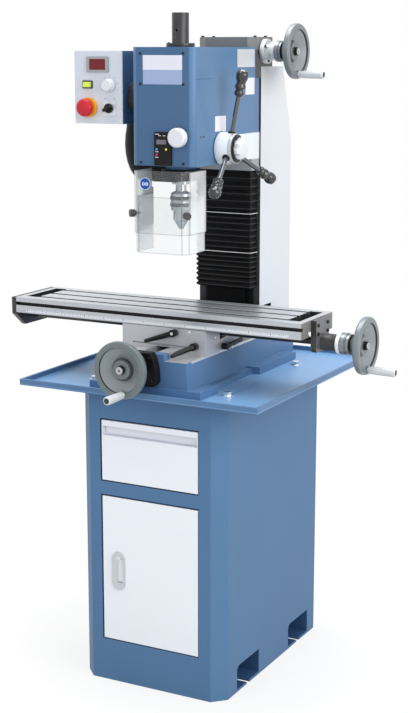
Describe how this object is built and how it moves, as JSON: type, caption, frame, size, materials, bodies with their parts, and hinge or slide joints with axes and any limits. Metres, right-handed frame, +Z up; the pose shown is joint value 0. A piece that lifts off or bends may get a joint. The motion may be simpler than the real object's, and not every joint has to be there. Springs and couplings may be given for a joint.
{
  "type": "mill drill",
  "caption": "Bench mill drill on a cabinet stand, with a cross table, feed handwheels, a sliding head, quill levers, a drill chuck with a clear guard, a drawer and a door.",
  "frame": {"origin": "on the floor, in the middle of the stand's base plate", "axes": "+X to the operator's right along the table, +Y from the operator to the column, +Z up"},
  "size_m": [0.8857, 0.7333, 1.4515],
  "materials": {
    "blue_paint": "gloss enamel, light orange peel",
    "white_paint": "gloss enamel",
    "black_paint": "semi-gloss enamel",
    "grey_paint": "hammered grey enamel",
    "machined_iron": "ground and oiled",
    "bright_steel": "turned",
    "chuck_steel": "polished, knurled bands",
    "rubber": "matt",
    "black_plastic": "moulded",
    "white_plastic": "moulded",
    "clear_plastic": "clear sheet",
    "red_plastic": "moulded",
    "green_plastic": "lit lens"
  },
  "bodies": {
    "root": {"stand_cabinet": "blue_paint", "door_hinges": "bright_steel", "drawer_runners": "bright_steel", "chip_tray": "blue_paint", "tray_bolts": "bright_steel", "base_casting": "blue_paint", "y_bearing_plate": "black_paint", "column": "white_paint", "z_gearbox": "grey_paint", "way_cover": "rubber", "bellows": "rubber"},
    "door": {"stand_door": "white_paint", "latch_plate": "grey_paint"},
    "latch": {"latch_lever": "grey_paint"},
    "drawer": {"drawer": "white_paint"},
    "y_wheel": {"y_screw": "bright_steel", "y_handwheel": "grey_paint"},
    "y_dial": {"y_dial": "bright_steel"},
    "y_handle": {"y_handle": "white_plastic"},
    "saddle": {"saddle": "machined_iron"},
    "table_clamp": {"table_clamp": "black_plastic"},
    "saddle_clamp": {"saddle_clamp": "black_plastic"},
    "side_clamp": {"side_clamp": "black_plastic"},
    "table": {"table": "machined_iron", "table_end_plates": "black_paint"},
    "x_wheel": {"x_screw": "bright_steel", "x_handwheel": "grey_paint"},
    "x_dial": {"x_dial": "bright_steel"},
    "x_handle": {"x_handle": "white_plastic"},
    "z_wheel": {"z_shaft": "bright_steel", "z_handwheel": "grey_paint"},
    "z_dial": {"z_dial": "bright_steel"},
    "z_handle": {"z_handle": "white_plastic"},
    "z_screw": {"z_screw": "bright_steel"},
    "head": {"z_slide": "white_paint", "head_casting": "blue_paint", "front_cover": "blue_paint", "depth_readout": "black_plastic", "motor": "black_paint", "drawbar_cover": "black_paint", "control_box": "blue_paint", "panel_fittings": "black_plastic", "guard_bracket": "black_paint"},
    "fine_feed": {"fine_feed_knob": "white_plastic"},
    "start": {"start_button": "green_plastic"},
    "estop": {"estop_button": "red_plastic"},
    "speed": {"speed_knob": "white_plastic"},
    "mode": {"mode_switch": "black_plastic"},
    "capstan": {"capstan_hub": "white_paint", "quill_levers": "black_plastic"},
    "feed_knob": {"feed_knob": "white_plastic"},
    "quill": {"quill": "bright_steel"},
    "spindle": {"spindle": "bright_steel", "drill_chuck": "chuck_steel"},
    "guard": {"guard_shield": "clear_plastic", "guard_hinge_plate": "bright_steel"},
    "guard_panel": {"guard_panel": "clear_plastic"},
    "knob_left": {"guard_knob_left": "black_plastic"},
    "knob_right": {"guard_knob_right": "black_plastic"}
  },
  "joints": [
    {"name": "door_swing", "type": "hinge", "parent": "root", "child": "door", "pos_m": [0.112, -0.2535, 0.26], "axis": [0, 0, 1], "range_deg": [0, 110]},
    {"name": "latch_lift", "type": "hinge", "parent": "door", "child": "latch", "pos_m": [-0.073, -0.2582, 0.287], "axis": [-1, 0, 0], "range_deg": [0, 40], "stiffness_Nm_per_rad": 0.02, "springref_deg": -17.19},
    {"name": "drawer_slide", "type": "slide", "parent": "root", "child": "drawer", "axis": [0, -1, 0], "range_m": [0, 0.3]},
    {"name": "y_handwheel_turn", "type": "hinge", "parent": "root", "child": "y_wheel", "pos_m": [0, -0.35, 0.739], "axis": [0, -1, 0], "range_deg": [-18000, 8100]},
    {"name": "y_dial_turn", "type": "hinge", "parent": "y_wheel", "child": "y_dial", "pos_m": [0, -0.325, 0.739], "axis": [0, -1, 0], "continuous": true},
    {"name": "y_handle_turn", "type": "hinge", "parent": "y_wheel", "child": "y_handle", "pos_m": [0.00696, -0.4, 0.68949], "axis": [0, -1, 0], "continuous": true},
    {"name": "saddle_slide", "type": "slide", "parent": "root", "child": "saddle", "axis": [0, -1, 0], "range_m": [-0.1, 0.045]},
    {"name": "table_clamp_turn", "type": "hinge", "parent": "saddle", "child": "table_clamp", "pos_m": [0.029, -0.2, 0.7895], "axis": [0, -1, 0], "range_deg": [-30, 5]},
    {"name": "saddle_clamp_turn", "type": "hinge", "parent": "saddle", "child": "saddle_clamp", "pos_m": [0.078, -0.2, 0.7645], "axis": [0, 1, 0], "range_deg": [0, 60]},
    {"name": "side_clamp_turn", "type": "hinge", "parent": "saddle", "child": "side_clamp", "pos_m": [0.11, -0.112, 0.753], "axis": [1, 0, 0], "range_deg": [-30, 30]},
    {"name": "table_slide", "type": "slide", "parent": "saddle", "child": "table", "axis": [1, 0, 0], "range_m": [-0.2, 0.24]},
    {"name": "x_handwheel_turn", "type": "hinge", "parent": "table", "child": "x_wheel", "pos_m": [0.41, -0.112, 0.7845], "axis": [1, 0, 0], "range_deg": [-36000, 43200]},
    {"name": "x_dial_turn", "type": "hinge", "parent": "x_wheel", "child": "x_dial", "pos_m": [0.385, -0.112, 0.7845], "axis": [1, 0, 0], "continuous": true},
    {"name": "x_handle_turn", "type": "hinge", "parent": "x_wheel", "child": "x_handle", "pos_m": [0.46, -0.112, 0.7345], "axis": [1, 0, 0], "continuous": true},
    {"name": "z_handwheel_turn", "type": "hinge", "parent": "root", "child": "z_wheel", "pos_m": [0.13, 0.135, 1.3725], "axis": [1, 0, 0], "range_deg": [-19800, 0]},
    {"name": "z_dial_turn", "type": "hinge", "parent": "z_wheel", "child": "z_dial", "pos_m": [0.115, 0.135, 1.3725], "axis": [1, 0, 0], "continuous": true},
    {"name": "z_handle_turn", "type": "hinge", "parent": "z_wheel", "child": "z_handle", "pos_m": [0.18, 0.135, 1.3225], "axis": [1, 0, 0], "continuous": true},
    {"name": "z_screw_turn", "type": "hinge", "parent": "root", "child": "z_screw", "pos_m": [0, 0.135, 1], "axis": [0, 0, 1], "range_deg": [-19800, 0]},
    {"name": "head_slide", "type": "slide", "parent": "root", "child": "head", "axis": [0, 0, 1], "range_m": [-0.11, 0], "deforming": ["bellows"]},
    {"name": "fine_feed_turn", "type": "hinge", "parent": "head", "child": "fine_feed", "pos_m": [0.044, -0.2, 1.1995], "axis": [0, -1, 0], "continuous": true},
    {"name": "start_push", "type": "slide", "parent": "head", "child": "start", "axis": [0, 1, 0], "range_m": [0, 0.002], "stiffness_N_per_m": 600, "springref_m": -0.001},
    {"name": "estop_push", "type": "slide", "parent": "head", "child": "estop", "axis": [0, 1, 0], "range_m": [0, 0.004], "stiffness_N_per_m": 1200, "springref_m": -0.002},
    {"name": "speed_turn", "type": "hinge", "parent": "head", "child": "speed", "pos_m": [-0.1385, -0.1705, 1.3025], "axis": [0, -1, 0], "range_deg": [-135, 135]},
    {"name": "mode_turn", "type": "hinge", "parent": "head", "child": "mode", "pos_m": [-0.139, -0.1705, 1.2545], "axis": [0, -1, 0], "range_deg": [-45, 45]},
    {"name": "capstan_turn", "type": "hinge", "parent": "head", "child": "capstan", "pos_m": [0.074, -0.0722, 1.1715], "axis": [1, 0, 0], "range_deg": [0, 200], "stiffness_Nm_per_rad": 0.5, "springref_deg": -171.89},
    {"name": "feed_knob_turn", "type": "hinge", "parent": "capstan", "child": "feed_knob", "pos_m": [0.12, -0.0722, 1.1715], "axis": [1, 0, 0], "range_deg": [0, 180]},
    {"name": "quill_slide", "type": "slide", "parent": "head", "child": "quill", "axis": [0, 0, 1], "range_m": [-0.05, 0]},
    {"name": "spindle_spin", "type": "hinge", "parent": "quill", "child": "spindle", "pos_m": [0, -0.112, 1.05], "axis": [0, 0, 1], "continuous": true},
    {"name": "guard_swing", "type": "hinge", "parent": "head", "child": "guard", "pos_m": [-0.076, -0.113, 1.05], "axis": [0, 0, -1], "range_deg": [0, 110]},
    {"name": "guard_panel_slide", "type": "slide", "parent": "guard", "child": "guard_panel", "axis": [0, 0, 1], "range_m": [0, 0.038]},
    {"name": "knob_left_turn", "type": "hinge", "parent": "guard", "child": "knob_left", "pos_m": [-0.06025, -0.20025, 1.0395], "axis": [-0.7071, -0.7071, 0], "range_deg": [0, 270]},
    {"name": "knob_right_turn", "type": "hinge", "parent": "guard", "child": "knob_right", "pos_m": [0.06025, -0.20025, 1.0395], "axis": [0.7071, -0.7071, 0], "range_deg": [0, 270]}
  ],
  "couplings": [
    {"joint": "saddle_slide", "follows": "y_handwheel_turn", "m_per_rad": 0.00031831},
    {"joint": "table_slide", "follows": "x_handwheel_turn", "m_per_rad": 0.00031831},
    {"joint": "head_slide", "follows": "z_handwheel_turn", "m_per_rad": 0.00031831},
    {"joint": "z_screw_turn", "follows": "z_handwheel_turn", "ratio": 1},
    {"joint": "quill_slide", "follows": "capstan_turn", "m_per_rad": -0.0143}
  ]
}
